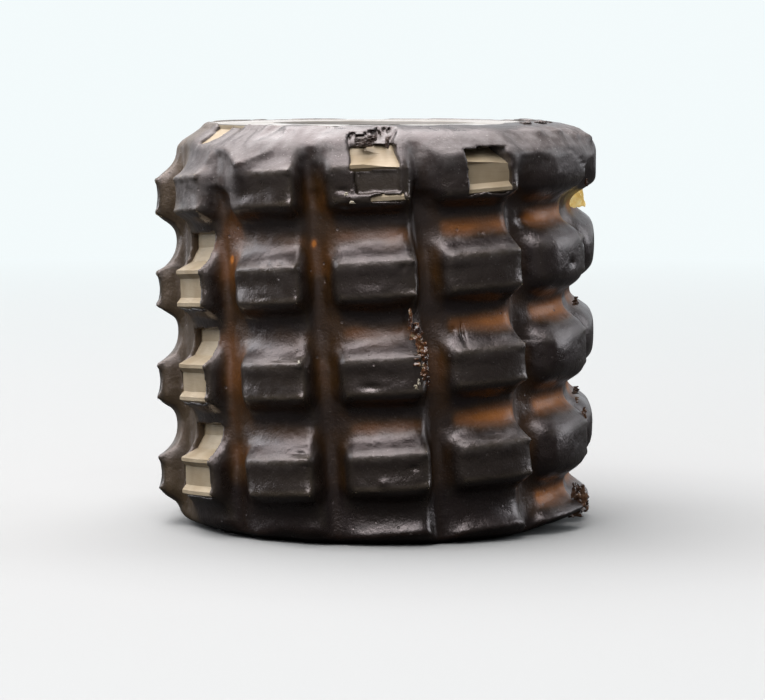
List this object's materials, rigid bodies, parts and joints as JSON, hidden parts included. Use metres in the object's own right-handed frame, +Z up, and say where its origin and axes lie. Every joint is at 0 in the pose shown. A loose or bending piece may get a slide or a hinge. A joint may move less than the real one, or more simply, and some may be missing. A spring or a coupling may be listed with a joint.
{
  "type": "spline hob",
  "caption": "Solid hob for straight-sided splines with a keyed bore, dipped in brown protective wax that has broken off some of its teeth.",
  "frame": {"origin": "on the bore's axis, at the lower hub face that the hob stands on", "axes": "+Z up along the bore; -Y faces the middle row of teeth"},
  "size_m": [0.0908, 0.0908, 0.0828],
  "materials": {
    "tool_steel": "ground high speed steel, tan under a trace of old wax",
    "dip_wax": "brown translucent strippable dip wax, satin, dusty, amber where it is thick",
    "thin_wax": "thin torn wax, clear yellow, glossy"
  },
  "bodies": {
    "root": {"hob_body": "tool_steel", "wax_coat": "dip_wax", "wax_flap": "thin_wax", "wax_shreds": "thin_wax", "wax_chips": "dip_wax"}
  },
  "joints": []
}
